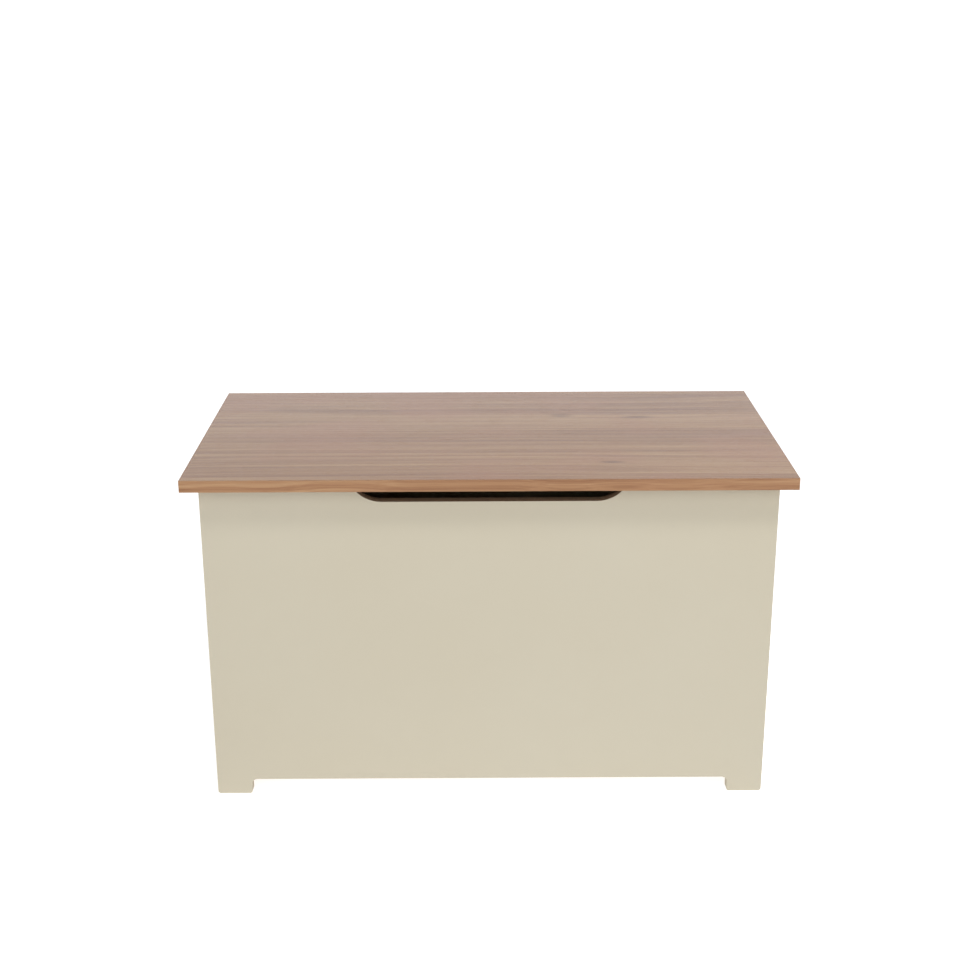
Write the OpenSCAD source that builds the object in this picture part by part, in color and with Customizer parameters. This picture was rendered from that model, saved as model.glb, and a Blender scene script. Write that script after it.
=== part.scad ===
// Lidded storage chest: a flat-pack board carcass on four corner feet, and an overhanging lid that
// swings on a full-length piano hinge and is held open by two gas lid stays.
// Millimetres. +Z is up and -Y is the front. The origin is on the floor, under the middle of the
// closed chest's outline.

/* [Lid] */
// Width of the lid, edging included
lid_w = 800; // [740:1:900]
// Depth of the lid, edging included
lid_d = 424; // [400:1:480]
// Thickness of the lid
lid_t = 16; // [15:1:22]
// How far the lid stands over the body at the front and at each side
lid_overhang = 21; // [15:1:26]
// Thickness of the edging round the lid
edging_t = 1; // [0.5:0.1:2]

/* [Body] */
// Height of the front and side panels, feet included
body_h = 450; // [430:1:520]
// Thickness of every body panel
panel_t = 15; // [15:1:18]
// Width of a foot
foot_w = 48; // [40:1:60]
// Height of a foot
foot_h = 22; // [16:1:24]
// Radius where a foot meets the panel's lower edge
foot_notch_r = 8; // [4:1:12]
// Radius of a foot's outer lower corner
foot_corner_r = 4; // [1:1:8]
// Radius of a foot's inner lower corner
foot_inner_r = 3; // [1:1:8]

/* [Finger pull] */
// Length of the finger pull's straight bottom
pull_flat_w = 282; // [200:1:320]
// Depth of the finger pull below the front panel's top edge
pull_depth = 19; // [15:1:30]
// Radius of the finger pull's ends
pull_r = 45; // [35:1:60]

/* [Base] */
// Thickness of the base panel
base_t = 9; // [6:1:12]
// Height of the base panel's underside above the floor
base_z = 45; // [45:1:60]
// Side of the square battens under the base
batten_s = 20; // [18:1:20]

/* [Piano hinge] */
// Length of one knuckle and its gap
knuckle_pitch = 12; // [10:0.5:14]
// Outside diameter of the knuckles
knuckle_d = 4; // [3.6:0.1:5]
// Thickness of a leaf
leaf_t = 0.8; // [0.7:0.1:1]
// Width of a leaf from the pin's axis to its free edge
leaf_w = 16; // [14:0.5:16]
// Diameter of the pin
pin_d = 2; // [1.6:0.1:2]
// Distance between the leaf screws
leaf_screw_pitch = 60; // [50:1:80]

/* [Lid stays] */
// Distance from the hinge axis to both ball studs of a stay
stay_reach = 200; // [180:1:220]
// Diameter of a stay's tube
tube_d = 15; // [14:0.5:18]
// Diameter of a stay's rod
rod_d = 6; // [5:0.5:8]
// Length of a stay's tube
tube_len = 210; // [170:1:210]
// Angle to which the lid opens
lid_open = 85; // [70:1:90]

/* [Hidden] */
$fn = 48;

// Colours
CREAM = [0.87, 0.83, 0.72];
OAK = [0.72, 0.58, 0.44];
OAK_EDGE = [0.72, 0.54, 0.36];
PINE = [0.85, 0.72, 0.52];
BRASS = [0.80, 0.68, 0.40];
ZINC = [0.70, 0.71, 0.73];
STEEL = [0.80, 0.81, 0.83];
BLACK = [0.12, 0.12, 0.13];
RUBBER = [0.45, 0.43, 0.40];

// Clearances: a loose one between boards, a fine one round fasteners and in the ball joints. past and
// hair are how far a cut runs beyond the solid that it cuts.
loose = 1;
fine = 0.05;
past = 1;
hair = 0.001;

// Places of n things in a row about zero
function spread(n, pitch) = [for (i = [0 : n - 1]) (i - (n - 1) / 2) * pitch];

// Body planes
body_w = lid_w - 2 * lid_overhang;
body_d = lid_d - lid_overhang;
knuckle_r = knuckle_d / 2;
hinge_out = knuckle_r + 0.2;
y_lid_front = -(lid_d + hinge_out + knuckle_r) / 2;
y_front = y_lid_front + lid_overhang;
y_back = y_lid_front + lid_d;
y_front_in = y_front + panel_t;
y_back_in = y_back - panel_t;
x_out = body_w / 2;
x_in = x_out - panel_t;
side_d = y_back_in - y_front_in;
y_mid = (y_front_in + y_back_in) / 2;

// The lid rests 2 mm above the panels on its bumpers, and the folded hinge fills the gap behind
lid_gap = 2;
bumper_d = 10;
bumper_in = 40;
lid_z = body_h + lid_gap;
hinge_y = y_back + hinge_out;
hinge_z = lid_z - knuckle_r;
back_h = lid_z - knuckle_d;

// Piano hinge: an odd count of knuckles, so that the body leaf holds both ends of the pin
knuckles = 2 * floor((2 * x_in / knuckle_pitch - 1) / 2) + 1;
hinge_len = knuckles * knuckle_pitch;
knuckle_gap = 0.3;
leaf_skin = 0.02;
leaf_screw_end = 25;
leaf_screw_n = floor((hinge_len - 2 * leaf_screw_end) / leaf_screw_pitch) + 1;
leaf_screw_d = 3;
leaf_screw_head = 5.6;
leaf_screw_len = 12;
leaf_screw_y = hinge_y - (leaf_w + knuckle_r + 1) / 2;
leaf_screw_xs = spread(leaf_screw_n, leaf_screw_pitch);

// Screw heads and tips
recess_share = 0.55;
recess_slot = 0.8;
screw_tip_d = 0.4;
pan_head_h = 2;
pan_head_edge = 0.6;

// Base: the screws through it stand between those that hold the battens to the panels
batten_z = base_z - batten_s / 2;
batten_screw_d = 3.5;
batten_screw_head = 7;
batten_screw_len = 30;
base_screw_len = 25;
long_screw_pitch = 2 * x_in / 5;
short_screw_pitch = side_d / 4;
long_batten_xs = spread(5, long_screw_pitch);
short_batten_ys = spread(3, short_screw_pitch);
long_base_xs = spread(4, long_screw_pitch);
short_base_ys = spread(2, short_screw_pitch);

// Corner fittings: three cams and two dowels up each corner
cam_zs = [75, 240, body_h - 45];
dowel_zs = [120, body_h - 100];
cam_d = 15;
cam_h = 12.5;
cam_in = 34;
cam_recess_w = 9;
cam_recess_h = 2.5;
bolt_thread = 11;
bolt_thread_d = 6;
bolt_collar = 1.5;
bolt_collar_d = 7.2;
bolt_shank_d = 5.5;
bolt_head = 4;
bolt_head_d = 7;
bolt_short = 2;
bolt_channel_gap = 0.4;
dowel_d = 8;
dowel_len = 35;
dowel_in = 12;

// Lid stays: both studs are stay_reach from the hinge axis, so each end turns at half the lid's rate
ball_d = 10;
socket_d = 15;
socket_w = 11.5;
socket_len = 16;
neck_d = 10;
neck_z = 5.3;
stud_len = 12;
stud_r = 2.5;
tenon_r = 2;
plate_t = 2;
stay_x = x_in - plate_t - stud_len;
lid_stud_drop = 12;
body_stud_in = 12;
lid_stud_angle = asin(lid_stud_drop / stay_reach);
body_stud_angle = acos((hinge_y - (y_back_in - body_stud_in)) / stay_reach);
lid_stud = [hinge_y - stay_reach * cos(lid_stud_angle), hinge_z - lid_stud_drop];
body_stud = [hinge_y - stay_reach * cos(body_stud_angle), hinge_z - stay_reach * sin(body_stud_angle)];
stay_rise = atan2(lid_stud[1] - body_stud[1], body_stud[0] - lid_stud[0]);
stay_tilt = 90 - stay_rise;
stay_open_len = 2 * stay_reach * sin((body_stud_angle - lid_stud_angle + lid_open) / 2);
socket_mouth_d = 8;
tube_wall = 1.2;
tube_cap = 4;
guide_len = 8;
piston_len = 8;
piston_gap = 2;
thread_in = 7;
rod_end = stay_open_len - socket_len - tube_len + guide_len + piston_gap + piston_len;
bracket_w = 24;
bracket_len = 48;
bracket_r = 4;
stud_plate_w = 20;
bracket_screw_out = 17;
bracket_screw_d = 3.5;
bracket_screw_head = 7;
bracket_screw_len = 14;
flange_gap = 2;

// ---------------------------------------------------------------- shared shapes

// A bar of cylinder from x1 to x2
module bar_x(r, x1, x2) {
    translate([x1, 0, 0]) rotate([0, 90, 0]) cylinder(r = r, h = x2 - x1);
}

// A bar of cylinder from y1 to y2
module bar_y(r, y1, y2) {
    translate([0, y1, 0]) rotate([-90, 0, 0]) cylinder(r = r, h = y2 - y1);
}

// Cross recess, sunk below z = 0
module cross_recess(span, depth) {
    for (turn = [0, 90])
        rotate(turn) translate([-span / 2, -recess_slot / 2, -depth])
            cube([span, recess_slot, depth + past]);
}

// Countersunk wood screw with its head's top at z = 0, driven towards -Z
module countersunk_screw(d, head_d, len) {
    head_h = (head_d - d) / 2;
    tip_h = d;
    difference() {
        union() {
            translate([0, 0, -head_h]) cylinder(d1 = d, d2 = head_d, h = head_h);
            translate([0, 0, -len + tip_h]) cylinder(d = d, h = len - tip_h - head_h);
            translate([0, 0, -len]) cylinder(d1 = screw_tip_d, d2 = d, h = tip_h);
        }
        cross_recess(head_d * recess_share, head_h * 0.7);
    }
}

// Pan-head wood screw with its head's underside at z = 0, driven towards -Z
module pan_screw(d, head_d, len) {
    side_h = pan_head_h - pan_head_edge;
    tip_h = d;
    difference() {
        union() {
            cylinder(d = head_d, h = side_h);
            translate([0, 0, side_h])
                cylinder(d1 = head_d, d2 = head_d - pan_head_h, h = pan_head_edge);
            translate([0, 0, -len + tip_h]) cylinder(d = d, h = len - tip_h);
            translate([0, 0, -len]) cylinder(d1 = screw_tip_d, d2 = d, h = tip_h);
        }
        translate([0, 0, pan_head_h]) cross_recess(head_d * recess_share, pan_head_h * 0.6);
    }
}

// What rounding takes off a lower corner at the origin: the board is above it and towards side
module corner_waste(r, side) {
    difference() {
        translate([side * r / 2, r / 2]) square(r + hair, center = true);
        translate([side * r, r]) circle(r);
    }
}

// Outline of a panel with a foot at each lower corner, as seen from outside, centred on x = 0
module footed_outline(w, h, left_foot, right_foot, corner_r) {
    notch_l = -w / 2 + left_foot;
    notch_r = w / 2 - right_foot;
    difference() {
        translate([-w / 2, 0]) square([w, h]);
        translate([notch_l, -past]) square([notch_r - notch_l, foot_h - foot_notch_r + past]);
        translate([notch_l + foot_notch_r, -past])
            square([notch_r - notch_l - 2 * foot_notch_r, foot_h + past]);
        for (x = [notch_l + foot_notch_r, notch_r - foot_notch_r])
            translate([x, foot_h - foot_notch_r]) circle(foot_notch_r);
        translate([notch_l, 0]) corner_waste(foot_inner_r, -1);
        translate([notch_r, 0]) corner_waste(foot_inner_r, 1);
        if (corner_r > 0)
            for (side = [-1, 1]) translate([side * w / 2, 0]) corner_waste(corner_r, -side);
    }
}

// ---------------------------------------------------------------- screw places and holes

// Runs children, drawn along -Z, at the screws of the front and back battens
module at_long_batten_screws() {
    for (x = long_batten_xs) {
        translate([x, y_front_in + batten_s, batten_z]) rotate([-90, 0, 0]) children();
        translate([x, y_back_in - batten_s, batten_z]) rotate([90, 0, 0]) children();
    }
}

// Runs children, drawn along -Z, at the screws of the left and right battens
module at_short_batten_screws() {
    for (y = short_batten_ys, side = [-1, 1])
        translate([side * (x_in - batten_s), y_mid + y, batten_z]) rotate([0, -side * 90, 0]) children();
}

// Runs children, drawn along -Z, at every base screw
module at_base_screws() {
    for (x = long_base_xs, y = [y_front_in + batten_s / 2, y_back_in - batten_s / 2])
        translate([x, y, base_z + base_t]) children();
    for (y = short_base_ys, side = [-1, 1])
        translate([side * (x_in - batten_s / 2), y_mid + y, base_z + base_t]) children();
}

// Runs children, drawn along -Z, at the screws of both stays' body brackets
module at_stay_body_screws() {
    for (side = [-1, 1], dz = [-bracket_screw_out, bracket_screw_out])
        translate([side * (x_in - plate_t), body_stud[0], body_stud[1] + dz])
            rotate([0, -side * 90, 0]) children();
}

// Runs children, drawn along -Z, at the screws of both stays' lid brackets
module at_stay_lid_screws() {
    for (side = [-1, 1], dy = [-bracket_screw_out, bracket_screw_out])
        translate([side * stay_x, lid_stud[0] + dy, lid_z - plate_t]) rotate([180, 0, 0]) children();
}

// Hole for a countersunk screw, with a head pocket at z = 0 and its run down -Z
module countersunk_hole(d, head_d, len) {
    head_h = (head_d - d) / 2;
    cone_h = head_h + past;
    translate([0, 0, -head_h]) cylinder(d1 = d + 2 * fine, d2 = d + 2 * fine + 2 * cone_h, h = cone_h);
    translate([0, 0, -len - fine]) cylinder(d = d + 2 * fine, h = len);
}

// Blind hole from the face at y = 0: it runs along into, which is -1 or 1
module hole_y(r, depth, into) {
    rotate([-90 * into, 0, 0]) translate([0, 0, -past]) cylinder(r = r, h = depth + past);
}

// Blind hole from the face at x = 0: it runs along into, which is -1 or 1
module hole_x(r, depth, into) {
    rotate([0, 90 * into, 0]) translate([0, 0, -past]) cylinder(r = r, h = depth + past);
}

// Hole for a wood screw that is driven along -Z from z = 0
module screw_hole(d, depth) {
    translate([0, 0, -depth]) cylinder(d = d + 2 * fine, h = depth);
}

// ---------------------------------------------------------------- carcass

// Blind holes for the cam bolts and dowels, in a front or back panel's inner face
module end_panel_holes(y_face, into) {
    for (side = [-1, 1])
        translate([side * (x_in + panel_t / 2), y_face, 0]) {
            for (z = cam_zs)
                translate([0, 0, z]) hole_y(bolt_thread_d / 2 + fine, bolt_thread + fine, into);
            for (z = dowel_zs)
                translate([0, 0, z]) hole_y(dowel_d / 2 + fine, dowel_in + fine, into);
        }
}

module front_panel() {
    color(CREAM)
    difference() {
        translate([0, y_front_in, 0]) rotate([90, 0, 0]) linear_extrude(panel_t)
            difference() {
                footed_outline(body_w, body_h, foot_w, foot_w, foot_corner_r);
                translate([-pull_flat_w / 2, body_h - pull_depth])
                    square([pull_flat_w, pull_depth + past]);
                for (side = [-1, 1])
                    translate([side * pull_flat_w / 2, body_h - pull_depth + pull_r])
                        circle(pull_r, $fn = 96);
            }
        end_panel_holes(y_front_in, -1);
        at_long_batten_screws() screw_hole(batten_screw_d, batten_screw_len + fine);
    }
}

module back_panel() {
    color(CREAM)
    difference() {
        translate([0, y_back, 0]) rotate([90, 0, 0]) linear_extrude(panel_t)
            footed_outline(body_w, back_h, foot_w, foot_w, foot_corner_r);
        end_panel_holes(y_back_in, 1);
        at_long_batten_screws() screw_hole(batten_screw_d, batten_screw_len + fine);
        for (x = leaf_screw_xs)
            translate([x, leaf_screw_y, back_h + past]) screw_hole(leaf_screw_d, leaf_screw_len + past);
    }
}

// Cam pockets, bolt holes and dowel holes at one end of a side panel: end is -1 at the front
module side_panel_joint(side, end) {
    translate([0, end < 0 ? y_front_in : y_back_in, 0]) {
        for (z = cam_zs) {
            translate([side * x_in, -end * cam_in, z]) hole_x(cam_d / 2, cam_h, side);
            translate([side * (x_in + panel_t / 2), 0, z]) hole_y(dowel_d / 2, cam_in, -end);
        }
        for (z = dowel_zs)
            translate([side * (x_in + panel_t / 2), 0, z])
                hole_y(dowel_d / 2 + fine, dowel_len - dowel_in + fine, -end);
    }
}

module side_panel(side) {
    color(CREAM)
    difference() {
        translate([side > 0 ? x_in : -x_out, y_mid, 0]) rotate([90, 0, 90]) linear_extrude(panel_t)
            footed_outline(side_d, body_h, foot_w - panel_t, foot_w - panel_t, 0);
        for (end = [-1, 1]) side_panel_joint(side, end);
        at_short_batten_screws() screw_hole(batten_screw_d, batten_screw_len + fine);
        at_stay_body_screws() screw_hole(bracket_screw_d, bracket_screw_len + fine);
    }
}

module base_panel() {
    color(CREAM)
    difference() {
        translate([-x_in + loose, y_front_in + loose, base_z])
            cube([2 * (x_in - loose), side_d - 2 * loose, base_t]);
        at_base_screws() countersunk_hole(batten_screw_d, batten_screw_head, base_screw_len);
    }
}

module long_batten(y) {
    color(PINE)
    difference() {
        translate([-x_in + loose, y, base_z - batten_s]) cube([2 * (x_in - loose), batten_s, batten_s]);
        at_long_batten_screws() countersunk_hole(batten_screw_d, batten_screw_head, batten_screw_len);
        at_base_screws() countersunk_hole(batten_screw_d, batten_screw_head, base_screw_len);
    }
}

module short_batten(side) {
    run = side_d - 2 * batten_s - 2 * loose;
    color(PINE)
    difference() {
        translate([side > 0 ? x_in - batten_s : -x_in, y_mid - run / 2, base_z - batten_s])
            cube([batten_s, run, batten_s]);
        at_short_batten_screws() countersunk_hole(batten_screw_d, batten_screw_head, batten_screw_len);
        at_base_screws() countersunk_hole(batten_screw_d, batten_screw_head, base_screw_len);
    }
}

module batten_screws() {
    color(ZINC) {
        at_long_batten_screws() countersunk_screw(batten_screw_d, batten_screw_head, batten_screw_len);
        at_short_batten_screws() countersunk_screw(batten_screw_d, batten_screw_head, batten_screw_len);
    }
}

module base_screws() {
    color(ZINC) at_base_screws() countersunk_screw(batten_screw_d, batten_screw_head, base_screw_len);
}

// ---------------------------------------------------------------- corner fittings

// Cam housing, its open face at z = 0 and its body down -Z, with a bolt channel towards +Y
module cam() {
    difference() {
        translate([0, 0, -cam_h + 2 * fine]) cylinder(d = cam_d - 4 * fine, h = cam_h - 2 * fine);
        translate([0, 0, -panel_t / 2]) bar_y(bolt_head_d / 2 + bolt_channel_gap, -bolt_short, cam_d);
        cross_recess(cam_recess_w, cam_recess_h);
    }
}

module cam_locks() {
    color(ZINC)
    for (side = [-1, 1], end = [-1, 1], z = cam_zs)
        translate([side * x_in, (end < 0 ? y_front_in : y_back_in) - end * cam_in, z])
            rotate([0, -side * 90, 0]) rotate(end < 0 ? 180 : 0) cam();
}

// Cam bolt along +Y from the joint at y = 0: a thread behind it, and a collar, shank and head before
// it. It ends just short of the cam's middle.
module cam_bolt() {
    end = cam_in - bolt_short;
    bar_y(bolt_thread_d / 2, -bolt_thread, 0);
    bar_y(bolt_collar_d / 2, 0, bolt_collar);
    bar_y(bolt_shank_d / 2, bolt_collar, end - bolt_head);
    bar_y(bolt_head_d / 2, end - bolt_head, end);
}

module cam_bolts() {
    color(STEEL)
    for (side = [-1, 1], end = [-1, 1], z = cam_zs)
        translate([side * (x_in + panel_t / 2), end < 0 ? y_front_in : y_back_in, z])
            rotate(end < 0 ? 0 : 180) cam_bolt();
}

module dowels() {
    color(PINE)
    for (side = [-1, 1], end = [-1, 1], z = dowel_zs)
        translate([side * (x_in + panel_t / 2), end < 0 ? y_front_in : y_back_in, z])
            rotate(end < 0 ? 0 : 180) bar_y(dowel_d / 2, -dowel_in, dowel_len - dowel_in);
}

// Soft pads on the panels' top edges: the closed lid rests on them
module lid_bumpers() {
    color(RUBBER)
    for (side = [-1, 1]) {
        translate([side * (x_out - bumper_in), y_front + panel_t / 2, body_h])
            cylinder(d = bumper_d, h = lid_gap - fine);
        translate([side * (x_out - panel_t / 2), y_mid, body_h])
            cylinder(d = bumper_d, h = lid_gap - fine);
    }
}

// ---------------------------------------------------------------- piano hinge

// Left end of knuckle i, counted from the hinge's left end
function knuckle_x(i) = -hinge_len / 2 + i * knuckle_pitch;

// A leaf about the pin's axis at y = 0, z = 0. up is 1 for the lid's leaf, which lies above the
// axis, and -1 for the body's, below it. first is its first knuckle, and it has every second one.
module hinge_leaf(up, first) {
    inner_z = up * (knuckle_r - leaf_skin);
    outer_z = inner_z - up * leaf_t;
    notch_w = knuckle_pitch + knuckle_gap;
    difference() {
        union() {
            translate([-hinge_len / 2, -leaf_w, min(inner_z, outer_z)]) cube([hinge_len, leaf_w, leaf_t]);
            for (i = [first : 2 : knuckles - 1])
                bar_x(knuckle_r, knuckle_x(i) + knuckle_gap / 2, knuckle_x(i + 1) - knuckle_gap / 2);
        }
        bar_x(pin_d / 2 + fine, -hinge_len / 2 - past, hinge_len / 2 + past);
        for (i = [first - 1 : 2 : knuckles])
            translate([knuckle_x(i) - knuckle_gap / 2, -knuckle_r - knuckle_gap, -knuckle_d])
                cube([notch_w, knuckle_d + 2 * past, 2 * knuckle_d]);
        for (x = leaf_screw_xs)
            translate([x, leaf_screw_y - hinge_y, up * knuckle_r]) rotate([up > 0 ? 180 : 0, 0, 0])
                leaf_screw_hole();
    }
}

// Countersink of one leaf screw: z = 0 is the board that the leaf lies on
module leaf_screw_hole() {
    h = leaf_t + past;
    d = leaf_screw_d + 2 * fine;
    translate([0, 0, -past]) cylinder(d = d, h = past + fine);
    cylinder(d1 = d, d2 = d + 2 * h, h = h);
}

module hinge_body_leaf() {
    color(BRASS) translate([0, hinge_y, hinge_z]) hinge_leaf(-1, 0);
}

module hinge_lid_leaf() {
    color(BRASS) translate([0, hinge_y, hinge_z]) hinge_leaf(1, 1);
}

module hinge_pin() {
    color(STEEL) translate([0, hinge_y, hinge_z]) bar_x(pin_d / 2, -hinge_len / 2, hinge_len / 2);
}

// The leaf screws: each head's cone starts where its leaf meets the board
module leaf_screws(z, up) {
    head_h = (leaf_screw_head - leaf_screw_d) / 2;
    color(BRASS)
    for (x = leaf_screw_xs)
        translate([x, leaf_screw_y, z - up * head_h]) rotate([up > 0 ? 180 : 0, 0, 0])
            countersunk_screw(leaf_screw_d, leaf_screw_head, leaf_screw_len);
}

module hinge_body_screws() {
    leaf_screws(back_h, -1);
}

module hinge_lid_screws() {
    leaf_screws(lid_z, 1);
}

// ---------------------------------------------------------------- lid

module lid_board() {
    color(OAK)
    difference() {
        translate([-lid_w / 2 + edging_t, y_lid_front + edging_t, lid_z])
            cube([lid_w - 2 * edging_t, lid_d - 2 * edging_t, lid_t]);
        for (x = leaf_screw_xs)
            translate([x, leaf_screw_y, lid_z - past]) rotate([180, 0, 0])
                screw_hole(leaf_screw_d, leaf_screw_len + past);
        at_stay_lid_screws() screw_hole(bracket_screw_d, bracket_screw_len + fine);
    }
}

module long_edging(y) {
    color(OAK_EDGE) translate([-lid_w / 2, y, lid_z]) cube([lid_w, edging_t, lid_t]);
}

module short_edging(side) {
    color(OAK_EDGE)
    translate([side > 0 ? lid_w / 2 - edging_t : -lid_w / 2, y_lid_front + edging_t, lid_z])
        cube([edging_t, lid_d - 2 * edging_t, lid_t]);
}

// ---------------------------------------------------------------- lid stays

// A stay is drawn for the right side and mirrored for the left. Each part is in its own frame, with
// its ball at the origin and the stay's length along +Z, and at_tube or at_rod puts it in place.
module on_side(side) {
    if (side > 0) children();
    else mirror([1, 0, 0]) children();
}

module at_tube() {
    translate([stay_x, body_stud[0], body_stud[1]]) rotate([stay_tilt, 0, 0]) children();
}

module at_rod() {
    translate([stay_x, lid_stud[0], lid_stud[1]]) rotate([stay_tilt + 180, 0, 0]) children();
}

module ball_socket() {
    difference() {
        union() {
            bar_x(socket_d / 2, -socket_w / 2, socket_w / 2);
            translate([0, 0, neck_z]) cylinder(d = neck_d, h = socket_len - neck_z);
        }
        rotate([0, 90, 0]) sphere(d = ball_d + 2 * fine);
        bar_x(socket_mouth_d / 2, 0, socket_w);
        translate([0, 0, socket_len - thread_in - fine])
            cylinder(d = rod_d + 2 * fine, h = thread_in + past);
    }
}

module stay_tube() {
    translate([0, 0, socket_len]) {
        difference() {
            cylinder(d = tube_d, h = tube_len);
            translate([0, 0, tube_cap]) cylinder(d = tube_d - 2 * tube_wall, h = tube_len);
        }
        translate([0, 0, -thread_in]) cylinder(d = rod_d, h = thread_in + past);
    }
}

module stay_rod_guide() {
    translate([0, 0, socket_len + tube_len - guide_len])
        difference() {
            cylinder(d = tube_d - 2 * tube_wall - 2 * fine, h = guide_len);
            translate([0, 0, -past]) cylinder(d = rod_d + 2 * fine, h = guide_len + 2 * past);
        }
}

module stay_rod() {
    translate([0, 0, socket_len - thread_in]) cylinder(d = rod_d, h = rod_end - socket_len + thread_in);
}

module stay_piston() {
    translate([0, 0, rod_end - piston_len])
        difference() {
            cylinder(d = tube_d - 2 * tube_wall - 4 * fine, h = piston_len);
            translate([0, 0, -past]) cylinder(d = rod_d + 2 * fine, h = piston_len + 2 * past);
        }
}

// Ball stud from a plate at x = reach: the ball is at the origin and a tenon fills the plate's hole
module ball_stud(reach) {
    rotate([0, 90, 0]) sphere(d = ball_d);
    bar_x(stud_r, 0, reach);
    bar_x(tenon_r, reach - past, reach + plate_t);
}

// Rounded plate in the YZ plane, from x = 0 to x = plate_t
module bracket_plate(w, len) {
    r = bracket_r;
    rotate([90, 0, 90]) linear_extrude(plate_t) {
        square([w, len - 2 * r], center = true);
        square([w - 2 * r, len], center = true);
        for (x = [-1, 1], y = [-1, 1]) translate([x * (w / 2 - r), y * (len / 2 - r)]) circle(r);
    }
}

module stay_body_bracket() {
    translate([x_in - plate_t, body_stud[0], body_stud[1]])
        difference() {
            bracket_plate(stud_plate_w, bracket_len);
            bar_x(tenon_r + fine, -past, plate_t + past);
            for (dz = [-bracket_screw_out, bracket_screw_out])
                translate([0, 0, dz]) bar_x(bracket_screw_d / 2 + fine, -past, plate_t + past);
        }
}

module stay_body_stud() {
    translate([stay_x, body_stud[0], body_stud[1]]) ball_stud(stud_len);
}

// Angle bracket: a plate under the lid, and a flange beside the side panel that holds the stud
module stay_lid_bracket() {
    flange_x = x_in - flange_gap - plate_t;
    plate_z = lid_z - plate_t;
    difference() {
        union() {
            translate([stay_x - bracket_w / 2, lid_stud[0] - bracket_len / 2, plate_z])
                cube([flange_x + plate_t - stay_x + bracket_w / 2, bracket_len, plate_t]);
            translate([flange_x, lid_stud[0] - stud_plate_w / 2, lid_stud[1]])
                cube([plate_t, stud_plate_w, plate_z + past - lid_stud[1]]);
            translate([0, lid_stud[0], lid_stud[1]]) bar_x(stud_plate_w / 2, flange_x, flange_x + plate_t);
        }
        translate([0, lid_stud[0], lid_stud[1]])
            bar_x(tenon_r + fine, flange_x - past, flange_x + plate_t + past);
        for (dy = [-bracket_screw_out, bracket_screw_out])
            translate([stay_x, lid_stud[0] + dy, plate_z - past])
                cylinder(d = bracket_screw_d + 2 * fine, h = plate_t + 2 * past);
    }
}

module stay_lid_stud() {
    translate([stay_x, lid_stud[0], lid_stud[1]]) ball_stud(stud_len - flange_gap);
}

module stay_body_screws() {
    color(ZINC) at_stay_body_screws() pan_screw(bracket_screw_d, bracket_screw_head, bracket_screw_len);
}

module stay_lid_screws() {
    color(ZINC) at_stay_lid_screws() pan_screw(bracket_screw_d, bracket_screw_head, bracket_screw_len);
}

// ---------------------------------------------------------------- nodes

front_panel();
back_panel();
side_panel(-1);  // left_side_panel
side_panel(1);  // right_side_panel
base_panel();
long_batten(y_front_in);  // front_batten
long_batten(y_back_in - batten_s);  // back_batten
short_batten(-1);  // left_batten
short_batten(1);  // right_batten
batten_screws();
base_screws();
cam_locks();
cam_bolts();
dowels();
lid_bumpers();
hinge_body_leaf();
hinge_lid_leaf();
hinge_pin();
hinge_body_screws();
hinge_lid_screws();
lid_board();
long_edging(y_lid_front);  // lid_front_edging
long_edging(y_back - edging_t);  // lid_back_edging
short_edging(-1);  // lid_left_edging
short_edging(1);  // lid_right_edging
color(ZINC) on_side(-1) stay_body_bracket();  // left_stay_body_bracket
color(STEEL) on_side(-1) stay_body_stud();  // left_stay_body_stud
color(BLACK) on_side(-1) at_tube() ball_socket();  // left_stay_tube_socket
color(BLACK) on_side(-1) at_tube() stay_tube();  // left_stay_tube
color(BLACK) on_side(-1) at_tube() stay_rod_guide();  // left_stay_rod_guide
color(ZINC) on_side(-1) at_rod() stay_piston();  // left_stay_piston
color(STEEL) on_side(-1) at_rod() stay_rod();  // left_stay_rod
color(BLACK) on_side(-1) at_rod() ball_socket();  // left_stay_rod_socket
color(ZINC) on_side(-1) stay_lid_bracket();  // left_stay_lid_bracket
color(STEEL) on_side(-1) stay_lid_stud();  // left_stay_lid_stud
color(ZINC) on_side(1) stay_body_bracket();  // right_stay_body_bracket
color(STEEL) on_side(1) stay_body_stud();  // right_stay_body_stud
color(BLACK) on_side(1) at_tube() ball_socket();  // right_stay_tube_socket
color(BLACK) on_side(1) at_tube() stay_tube();  // right_stay_tube
color(BLACK) on_side(1) at_tube() stay_rod_guide();  // right_stay_rod_guide
color(ZINC) on_side(1) at_rod() stay_piston();  // right_stay_piston
color(STEEL) on_side(1) at_rod() stay_rod();  // right_stay_rod
color(BLACK) on_side(1) at_rod() ball_socket();  // right_stay_rod_socket
color(ZINC) on_side(1) stay_lid_bracket();  // right_stay_lid_bracket
color(STEEL) on_side(1) stay_lid_stud();  // right_stay_lid_stud
stay_body_screws();
stay_lid_screws();
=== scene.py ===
"""Looks of the lidded storage chest: soft edges, procedural materials, studio light and the camera.

Metres, in the frame's own axes: +X right seen from the front, +Y to the back, +Z up, floor at z = 0.
"""

import math

import bpy
from mathutils import Matrix, Vector

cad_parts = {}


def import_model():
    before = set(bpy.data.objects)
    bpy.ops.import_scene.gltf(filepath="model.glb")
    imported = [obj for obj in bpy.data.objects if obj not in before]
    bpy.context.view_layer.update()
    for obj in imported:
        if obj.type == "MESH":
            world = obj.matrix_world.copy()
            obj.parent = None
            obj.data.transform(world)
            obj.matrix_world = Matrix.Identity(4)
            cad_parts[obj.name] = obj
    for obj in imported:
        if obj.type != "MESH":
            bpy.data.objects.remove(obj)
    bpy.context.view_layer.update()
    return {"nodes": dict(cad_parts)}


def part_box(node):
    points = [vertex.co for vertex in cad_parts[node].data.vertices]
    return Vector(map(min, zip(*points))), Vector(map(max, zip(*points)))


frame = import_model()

MM = 0.001

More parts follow.
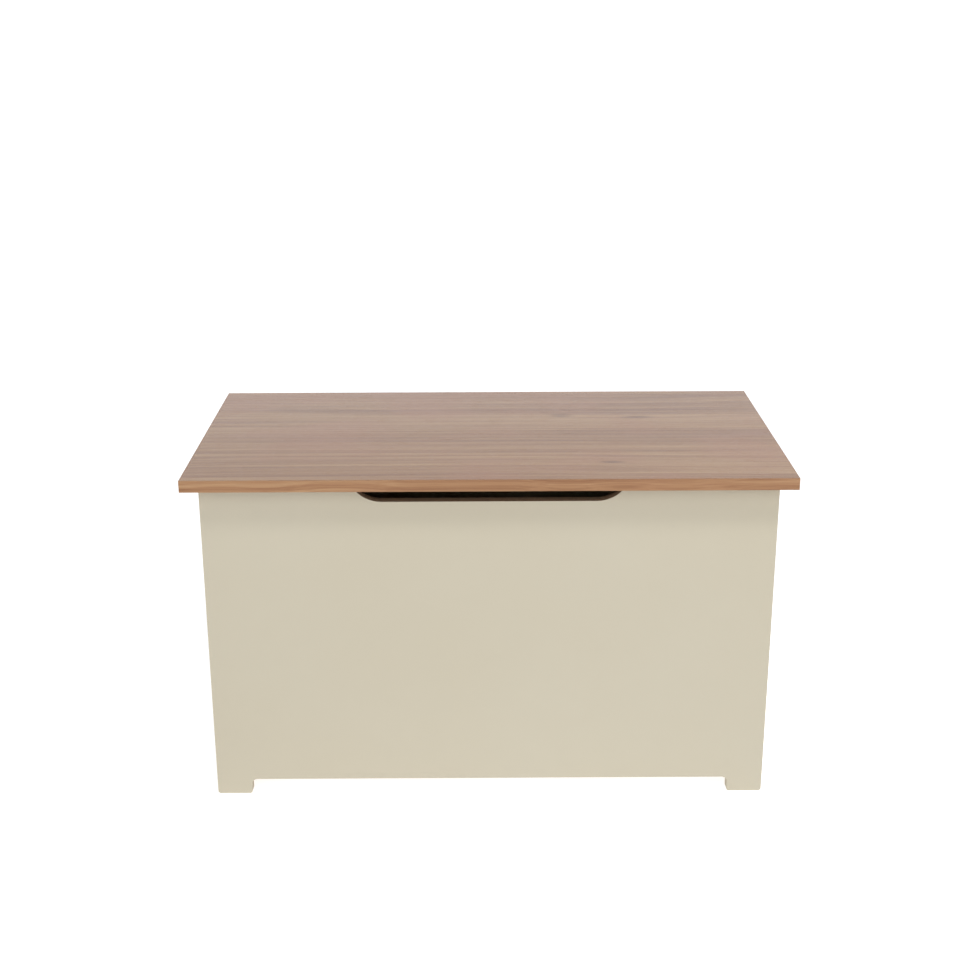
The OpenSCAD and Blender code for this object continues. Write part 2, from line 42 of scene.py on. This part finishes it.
# The part of the front panel that holds the finger pull's cut edge, a little larger than the pull
PANEL_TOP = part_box("front_panel")[1].z
PULL_HALF_W = 190 * MM
PULL_DEPTH = 30 * MM

# Studio. The walls glow up to WALL_END, the sine of the height, and from CEILING_START it is dark.
# BACK_DROP is how much lower both are at the back.
WALL_GLOW = 1.15
CEILING_GLOW = 0.05
WALL_END = 0.48
CEILING_START = 0.66
BACK_DROP = 0.22
FLOOR_HALF = 20.0
FLOOR_GREY = 0.80
FLOOR_GLOW = 0.30
FLOOR_GLOW_TO_CAMERA = 0.80
KEY_PLACE = (1.0, -1.25, 3.2)
KEY_TARGET = (0, 0, 0.4)
KEY_SIZE = 0.5
KEY_POWER = 36

# Camera, with its angles in degrees
LENS = 56.0
CAMERA_PLACE = (-0.0181, -2.030, 1.0852)
PITCH = 18.78
YAW = -0.19
ROLL = -0.20


# ---------------------------------------------------------------- node helpers

def linear(red, green, blue):
    """An sRGB colour, 0 to 255 a channel, as the linear RGBA that the shaders take."""
    def channel(value):
        share = value / 255
        return share / 12.92 if share <= 0.04045 else ((share + 0.055) / 1.055) ** 2.4
    return (channel(red), channel(green), channel(blue), 1.0)


def drawn_out(along, length_scale, cross_scale):
    """Noise scales for streaks along one axis, 0 for X or 1 for Y."""
    scale = [cross_scale] * 3
    scale[along] = length_scale
    return tuple(scale)


class Surface:
    """A material with a Principled shader, and short calls that add nodes to it."""

    def __init__(self, name, **sockets):
        self.material = bpy.data.materials.new(name)
        self.material.use_nodes = True
        self.tree = self.material.node_tree
        self.tree.nodes.clear()
        self.shader = self.tree.nodes.new("ShaderNodeBsdfPrincipled")
        output = self.tree.nodes.new("ShaderNodeOutputMaterial")
        self.tree.links.new(self.shader.outputs["BSDF"], output.inputs["Surface"])
        for socket, value in sockets.items():
            self.set(self.shader, socket.replace("_", " "), value)
        self.place = self.add("ShaderNodeTexCoord").outputs["Object"]

    def set(self, node, socket, value):
        """Sets a socket to a value, or links another node's output to it."""
        target = node.inputs[socket]
        if isinstance(value, bpy.types.NodeSocket):
            self.tree.links.new(value, target)
        else:
            target.default_value = value

    def add(self, kind, inputs=None, **settings):
        """A new node, with its sockets set or linked by inputs."""
        node = self.tree.nodes.new(kind)
        for name, value in settings.items():
            setattr(node, name, value)
        for socket, value in (inputs or {}).items():
            self.set(node, socket, value)
        return node

    def math(self, operation, first, second=0.0):
        return self.add("ShaderNodeMath", {0: first, 1: second}, operation=operation).outputs[0]

    def vector_math(self, operation, first, second):
        return self.add("ShaderNodeVectorMath", {0: first, 1: second}, operation=operation).outputs["Vector"]

    def length(self, vector):
        return self.add("ShaderNodeVectorMath", {0: vector}, operation="LENGTH").outputs["Value"]

    def axes(self, vector):
        """The X, Y and Z of a vector."""
        return self.add("ShaderNodeSeparateXYZ", {"Vector": vector}).outputs

    def stretched(self, scale, offset=(0, 0, 0), vector=None):
        """A vector, or the object's own coordinates, scaled along each axis."""
        source = self.place if vector is None else vector
        inputs = {"Vector": source, "Location": offset, "Scale": scale}
        return self.add("ShaderNodeMapping", inputs).outputs["Vector"]

    def noise(self, vector, detail=2.0, roughness=0.5, distortion=0.0):
        """Noise from 0 to 1, about 0.5."""
        inputs = {"Vector": vector, "Scale": 1.0, "Detail": detail, "Roughness": roughness,
                  "Distortion": distortion}
        return self.add("ShaderNodeTexNoise", inputs).outputs["Fac"]

    def even_noise(self, scale, detail, roughness=0.5):
        """Noise with the same scale along every axis."""
        return self.noise(self.stretched((scale, scale, scale)), detail, roughness)

    def remap(self, value, low, high, to_low=0.0, to_high=1.0, smooth=False):
        """value, taken from low..high to to_low..to_high, and held there."""
        inputs = {"Value": value, "From Min": low, "From Max": high, "To Min": to_low, "To Max": to_high}
        kind = "SMOOTHSTEP" if smooth else "LINEAR"
        return self.add("ShaderNodeMapRange", inputs, interpolation_type=kind).outputs["Result"]

    def mix(self, share, first, second):
        """Two colours mixed, with share of the second."""
        node = self.add("ShaderNodeMix", {0: share, 6: first, 7: second}, data_type="RGBA")
        return node.outputs[2]

    def ramp(self, value, stops):
        """A colour from a list of (place, colour) stops."""
        node = self.add("ShaderNodeValToRGB", {"Fac": value})
        ramp = node.color_ramp
        while len(ramp.elements) < len(stops):
            ramp.elements.new(0.5)
        for element, (place, colour) in zip(ramp.elements, stops):
            element.position = place
            element.color = colour
        return node.outputs["Color"]

    def bump(self, height, distance):
        """Bumps of the height given, from 0 to 1, times distance in millimetres."""
        node = self.add("ShaderNodeBump", {"Height": height, "Distance": distance * MM})
        self.set(self.shader, "Normal", node.outputs["Normal"])

    def finish(self, **sockets):
        """Sets or links the shader's last sockets, and gives the material."""
        for socket, value in sockets.items():
            self.set(self.shader, socket.replace("_", " "), value)
        return self.material


# ---------------------------------------------------------------- materials

def pull_edge(s):
    """1 on the finger pull's cut edge, which faces up or to a side, and 0 on the rest of the panel."""
    place = s.axes(s.place)
    facing = s.axes(s.add("ShaderNodeTexCoord").outputs["Normal"])
    inside_w = s.remap(s.math("ABSOLUTE", place["X"]), PULL_HALF_W, PULL_HALF_W - MM)
    inside_h = s.remap(place["Z"], PANEL_TOP - PULL_DEPTH - MM, PANEL_TOP - PULL_DEPTH)
    cut = s.remap(s.math("ABSOLUTE", facing["Y"]), 0.75, 0.45, smooth=True)
    return s.math("MULTIPLY", s.math("MULTIPLY", inside_w, inside_h), cut)


def cream_paint(bare_pull=False):
    """Sprayed satin paint on fibreboard. With bare_pull, the finger pull's cut edge is bare board."""
    s = Surface("cream_paint_with_bare_pull" if bare_pull else "cream_paint", Specular_IOR_Level=0.5)
    cloud = s.even_noise(3.1, detail=3)
    speck = s.even_noise(900, detail=1)
    colour = s.mix(cloud, linear(205, 196, 174), linear(209, 202, 183))
    colour = s.mix(s.remap(speck, 0.62, 0.78, 0, 0.10), colour, linear(188, 178, 156))
    height = s.even_noise(330, detail=2, roughness=0.6)
    rough = s.remap(cloud, 0.3, 0.7, 0.34, 0.42)
    if bare_pull:
        bare = pull_edge(s)
        fibre = s.noise(s.stretched((260, 900, 900)), detail=4, roughness=0.7)
        board = s.ramp(fibre, [(0.30, linear(122, 105, 86)), (0.55, linear(149, 130, 108)),
                               (0.75, linear(167, 149, 127))])
        colour = s.mix(bare, colour, board)
        rough = s.math("ADD", rough, s.math("MULTIPLY", bare, 0.42))
        height = s.math("ADD", height, s.math("MULTIPLY", s.math("MULTIPLY", fibre, bare), 3.0))
    s.bump(height, 0.03)
    return s.finish(Base_Color=colour, Roughness=rough)


def swayed(s, along, fine, sway, offset):
    """The object's coordinates, shifted across the grain by slow noise."""
    slow = s.noise(s.stretched((1.9 * fine, 1.9 * fine, 1.9 * fine), offset), detail=0.5)
    shift = s.math("MULTIPLY", s.math("SUBTRACT", slow, 0.5), sway)
    across = {axis: shift for axis in range(3) if axis != along}
    return s.vector_math("ADD", s.place, s.add("ShaderNodeCombineXYZ", across).outputs["Vector"])


def blot_knots(s, colour, grain, streak, knots):
    """The colour, darkened at each knot, and less where a streak is light."""
    for place, (half_length, half_width) in knots:
        gap = s.vector_math("SUBTRACT", grain, place)
        far = s.length(s.vector_math("MULTIPLY", gap, (1 / half_length, 1 / half_width, 0)))
        blot = s.math("MULTIPLY", s.remap(far, 1.0, 0.1, smooth=True), s.remap(streak, 0.4, 0.6, 0.9, 0.5))
        colour = s.mix(blot, colour, OAK_KNOT)
    return colour


def oak(name, along, fine, sway, middle, softness, pink, roughness, gloss, offset=(0, 0, 0), knots=()):
    """Printed oak: bands, streaks and pores drawn out along one axis, 0 for X or 1 for Y.

    fine sets how close the streaks lie, sway how far they wander across the grain, in metres, middle
    how dark the whole is (0.5 is even), softness how faint the streaks are, and pink how strong the
    reddish patches are. Each knot is (place, (half length, half width)), at any height.
    """
    s = Surface(name, Specular_IOR_Level=gloss)
    grain = swayed(s, along, fine, sway, offset)

    def drawn(length_scale, cross_scale):
        return s.stretched(drawn_out(along, length_scale, cross_scale), offset, grain)

    band = s.noise(drawn(0.6 * fine, 16 * fine), detail=3, distortion=0.1)
    streak = s.noise(drawn(0.5 * fine, 95 * fine), detail=3, roughness=0.45)
    line = s.noise(drawn(1.1 * fine, 300 * fine), detail=2)
    pores = s.remap(s.noise(drawn(30, 1400), detail=1), 0.60, 0.72)
    blush = s.noise(s.stretched((6, 9, 9), offset), detail=2)
    tone = s.math("ADD", s.math("MULTIPLY", band, 0.44), s.math("MULTIPLY", streak, 0.34))
    tone = s.math("ADD", tone, s.math("MULTIPLY", line, 0.22))
    colour = s.ramp(tone, [(middle - softness, OAK_DARK), (middle, OAK_MIDDLE),
                           (middle + softness, OAK_LIGHT)])
    colour = s.mix(s.remap(blush, 0.42, 0.66, 0, pink, smooth=True), colour, OAK_PINK)
    colour = s.mix(s.math("MULTIPLY", pores, 0.25), colour, OAK_DARK)
    colour = blot_knots(s, colour, grain, streak, knots)
    s.bump(s.math("SUBTRACT", s.math("MULTIPLY", line, 0.5), pores), 0.03)
    rough = s.math("ADD", s.remap(line, 0.3, 0.7, roughness - 0.03, roughness + 0.05),
                   s.math("MULTIPLY", pores, 0.12))
    return s.finish(Base_Color=colour, Roughness=rough)


def pine(name, along):
    """Planed softwood with clear early and late wood."""
    s = Surface(name, Specular_IOR_Level=0.4)
    ring = s.noise(s.stretched(drawn_out(along, 1.6, 95)), detail=2, distortion=0.8)
    fibre = s.noise(s.stretched(drawn_out(along, 25, 900)), detail=3)
    tone = s.math("ADD", s.math("MULTIPLY", ring, 0.7), s.math("MULTIPLY", fibre, 0.3))
    colour = s.ramp(tone, [(0.33, linear(186, 140, 88)), (0.5, linear(218, 182, 132)),
                           (0.65, linear(231, 202, 157))])
    s.bump(fibre, 0.06)
    return s.finish(Base_Color=colour, Roughness=s.remap(fibre, 0.3, 0.7, 0.55, 0.7))


def metal(name, dark, light, roughness, lines, tarnish=0.25):
    """Bare or plated metal: rolled or ground lines drawn out by the scales given, and faint tarnish."""
    s = Surface(name, Metallic=1.0)
    patch = s.even_noise(25, detail=3)
    grind = s.noise(s.stretched(lines), detail=3, roughness=0.7)
    colour = s.mix(s.remap(patch, 0.40, 0.85), light, dark)
    spots = s.even_noise(420, detail=2)
    colour = s.mix(s.remap(spots, 0.60, 0.75, 0, tarnish), colour, dark)
    rough = s.math("ADD", s.remap(patch, 0.3, 0.7, roughness, roughness + 0.08),
                   s.remap(grind, 0.3, 0.7, -0.04, 0.06))
    s.bump(grind, 0.02)
    return s.finish(Base_Color=colour, Roughness=rough)


def black_enamel():
    """Smooth black enamel on the stays' tubes."""
    s = Surface("black_enamel", Specular_IOR_Level=0.5, Coat_Weight=0.5, Coat_Roughness=0.12)
    dust = s.even_noise(700, detail=2)
    cloud = s.even_noise(40, detail=3)
    colour = s.mix(s.remap(dust, 0.60, 0.75, 0, 0.35), linear(22, 22, 24), linear(46, 46, 49))
    s.bump(dust, 0.02)
    return s.finish(Base_Color=colour, Roughness=s.remap(cloud, 0.3, 0.7, 0.26, 0.36))


def black_plastic():
    """Spark-textured black nylon."""
    s = Surface("black_plastic", Specular_IOR_Level=0.45)
    grain = s.even_noise(1600, detail=2)
    cloud = s.even_noise(50, detail=3)
    colour = s.mix(cloud, linear(26, 26, 28), linear(38, 38, 40))
    s.bump(grain, 0.05)
    return s.finish(Base_Color=colour, Roughness=s.remap(grain, 0.3, 0.7, 0.45, 0.6))


def pad_rubber():
    """Soft pale grey bumper rubber."""
    s = Surface("pad_rubber", Specular_IOR_Level=0.4)
    grain = s.even_noise(900, detail=2)
    colour = s.mix(grain, linear(150, 146, 138), linear(172, 168, 160))
    s.bump(grain, 0.03)
    return s.finish(Base_Color=colour, Roughness=s.remap(grain, 0.3, 0.7, 0.5, 0.65))


OAK_DARK = linear(141, 94, 61)
OAK_MIDDLE = linear(173, 129, 92)
OAK_LIGHT = linear(196, 157, 117)
OAK_PINK = linear(178, 124, 97)
OAK_KNOT = linear(118, 76, 54)
KNOTS = (((0.108, 0.080, 0), (0.025, 0.014)), ((0.218, 0.073, 0), (0.035, 0.010)),
         ((0.164, -0.143, 0), (0.025, 0.008)))
EDGING = {"fine": 3.4, "sway": 0.016, "middle": 0.52, "softness": 0.15, "pink": 0.12, "roughness": 0.36,
          "gloss": 0.5}

PAINT = cream_paint()
PAINT_WITH_PULL = cream_paint(bare_pull=True)
LID_OAK = oak("oak_foil", 0, fine=1.0, sway=0.035, middle=0.50, softness=0.12, pink=0.45,
              roughness=0.19, gloss=0.65, knots=KNOTS)
LONG_EDGING = oak("oak_edging_long", 0, offset=(3.1, 1.7, 0.4), **EDGING)
SHORT_EDGING = oak("oak_edging_short", 1, offset=(0.7, 4.3, 2.2), **EDGING)
LONG_PINE = pine("pine_long", 0)
SHORT_PINE = pine("pine_short", 1)
DOWEL_PINE = pine("pine_dowel", 1)
BRASS = metal("brass", linear(190, 162, 108), linear(216, 191, 138), 0.30, lines=(6, 900, 900),
              tarnish=0.15)
BRASS_SCREW = metal("brass_screw", linear(206, 184, 134), linear(232, 212, 166), 0.24,
                    lines=(500, 500, 500), tarnish=0.1)
ZINC = metal("zinc_steel", linear(150, 152, 150), linear(196, 198, 200), 0.32, lines=(300, 300, 300))
BRIGHT = metal("bright_steel", linear(168, 170, 174), linear(214, 216, 220), 0.14, lines=(400, 400, 90),
               tarnish=0.1)
ENAMEL = black_enamel()
PLASTIC = black_plastic()
RUBBER = pad_rubber()

# What each node is made of, and how much its edges are eased, in millimetres
FINISHES = {
    "front_panel": (PAINT_WITH_PULL, 0.8),
    "back_panel": (PAINT, 0.8),
    "left_side_panel": (PAINT, 0.8),
    "right_side_panel": (PAINT, 0.8),
    "base_panel": (PAINT, 0.4),
    "front_batten": (LONG_PINE, 0.8),
    "back_batten": (LONG_PINE, 0.8),
    "left_batten": (SHORT_PINE, 0.8),
    "right_batten": (SHORT_PINE, 0.8),
    "batten_screws": (ZINC, 0),
    "base_screws": (ZINC, 0),
    "cam_locks": (ZINC, 0),
    "cam_bolts": (BRIGHT, 0),
    "dowels": (DOWEL_PINE, 0),
    "lid_bumpers": (RUBBER, 0.3),
    "hinge_body_leaf": (BRASS, 0),
    "hinge_lid_leaf": (BRASS, 0),
    "hinge_pin": (BRIGHT, 0),
    "hinge_body_screws": (BRASS_SCREW, 0),
    "hinge_lid_screws": (BRASS_SCREW, 0),
    "lid_board": (LID_OAK, 0),
    "lid_front_edging": (LONG_EDGING, 0.4),
    "lid_back_edging": (LONG_EDGING, 0.4),
    "lid_left_edging": (SHORT_EDGING, 0.4),
    "lid_right_edging": (SHORT_EDGING, 0.4),
    "stay_body_screws": (ZINC, 0),
    "stay_lid_screws": (ZINC, 0),
}
STAY_FINISHES = {
    "body_bracket": (ZINC, 0.3),
    "body_stud": (BRIGHT, 0),
    "tube_socket": (PLASTIC, 0.3),
    "tube": (ENAMEL, 0.2),
    "rod_guide": (PLASTIC, 0),
    "piston": (ZINC, 0),
    "rod": (BRIGHT, 0.2),
    "rod_socket": (PLASTIC, 0.3),
    "lid_bracket": (ZINC, 0.3),
    "lid_stud": (BRIGHT, 0),
}
for side in ("left", "right"):
    for part, finish in STAY_FINISHES.items():
        FINISHES[f"{side}_stay_{part}"] = finish


def ease_edges(piece, width):
    """Rounds a CAD node's sharp edges by width, in millimetres, and leaves its shape as it is."""
    weld = piece.modifiers.new("weld", "WELD")
    weld.merge_threshold = 0.01 * MM
    bevel = piece.modifiers.new("eased_edges", "BEVEL")
    bevel.width = width * MM
    bevel.segments = 3
    bevel.limit_method = "ANGLE"
    bevel.angle_limit = math.radians(50)
    bevel.use_clamp_overlap = True
    bevel.harden_normals = True


for name, (material, width) in FINISHES.items():
    piece = frame["nodes"][name]
    piece.data.materials.clear()
    piece.data.materials.append(material)
    if width:
        ease_edges(piece, width)


# ---------------------------------------------------------------- studio

def floor():
    """A plain pale floor. It glows a little, and more to the camera, so that it stays near white."""
    mesh = bpy.data.meshes.new("floor")
    corners = [(-FLOOR_HALF, -FLOOR_HALF, 0), (FLOOR_HALF, -FLOOR_HALF, 0),
               (FLOOR_HALF, FLOOR_HALF, 0), (-FLOOR_HALF, FLOOR_HALF, 0)]
    mesh.from_pydata(corners, [], [(0, 1, 2, 3)])
    plane = bpy.data.objects.new("floor", mesh)
    bpy.context.scene.collection.objects.link(plane)
    s = Surface("floor", Roughness=0.9, Specular_IOR_Level=0.1)
    to_camera = s.add("ShaderNodeLightPath").outputs["Is Camera Ray"]
    glow = s.remap(to_camera, 0, 1, FLOOR_GLOW, FLOOR_GLOW_TO_CAMERA)
    s.finish(Base_Color=(FLOOR_GREY, FLOOR_GREY, FLOOR_GREY, 1), Emission_Color=(1, 1, 1, 1),
             Emission_Strength=glow)
    mesh.materials.append(s.material)


def world():
    """White walls all round, lower at the back, and a dark ceiling."""
    made = bpy.data.worlds.new("studio")
    bpy.context.scene.world = made
    made.use_nodes = True
    tree = made.node_tree
    tree.nodes.clear()
    coordinates = tree.nodes.new("ShaderNodeTexCoord")
    tilted = tree.nodes.new("ShaderNodeVectorMath")
    tilted.operation = "DOT_PRODUCT"
    tilted.inputs[1].default_value = (0, BACK_DROP, 1)
    height = tree.nodes.new("ShaderNodeMapRange")
    height.interpolation_type = "SMOOTHSTEP"
    for socket, value in (("From Min", WALL_END), ("From Max", CEILING_START), ("To Min", WALL_GLOW),
                          ("To Max", CEILING_GLOW)):
        height.inputs[socket].default_value = value
    background = tree.nodes.new("ShaderNodeBackground")
    background.inputs["Color"].default_value = (1, 1, 1, 1)
    output = tree.nodes.new("ShaderNodeOutputWorld")
    tree.links.new(coordinates.outputs["Generated"], tilted.inputs[0])
    tree.links.new(tilted.outputs["Value"], height.inputs["Value"])
    tree.links.new(height.outputs["Result"], background.inputs["Strength"])
    tree.links.new(background.outputs["Background"], output.inputs["Surface"])


def soft_box(name, place, target, size, power):
    """A square area light at place that shines at target."""
    data = bpy.data.lights.new(name, "AREA")
    data.shape = "SQUARE"
    data.size = size
    data.energy = power
    lamp = bpy.data.objects.new(name, data)
    bpy.context.scene.collection.objects.link(lamp)
    direction = Vector(target) - Vector(place)
    lamp.matrix_world = Matrix.Translation(place) @ direction.to_track_quat("-Z", "Y").to_matrix().to_4x4()


def camera():
    """From the front and a little above, with a slightly long lens."""
    data = bpy.data.cameras.new("camera")
    data.sensor_width = 36
    data.lens = LENS
    data.clip_end = 50
    made = bpy.data.objects.new("camera", data)
    bpy.context.scene.collection.objects.link(made)
    pitch, yaw, roll = (math.radians(angle) for angle in (PITCH, YAW, ROLL))
    turn = (Matrix.Rotation(yaw, 4, "Z") @ Matrix.Rotation(math.pi / 2 - pitch, 4, "X")
            @ Matrix.Rotation(roll, 4, "Z"))
    made.matrix_world = Matrix.Translation(CAMERA_PLACE) @ turn
    bpy.context.scene.camera = made


floor()
world()
soft_box("key_light", KEY_PLACE, KEY_TARGET, KEY_SIZE, KEY_POWER)
camera()
bpy.context.scene.view_settings.view_transform = "Standard"
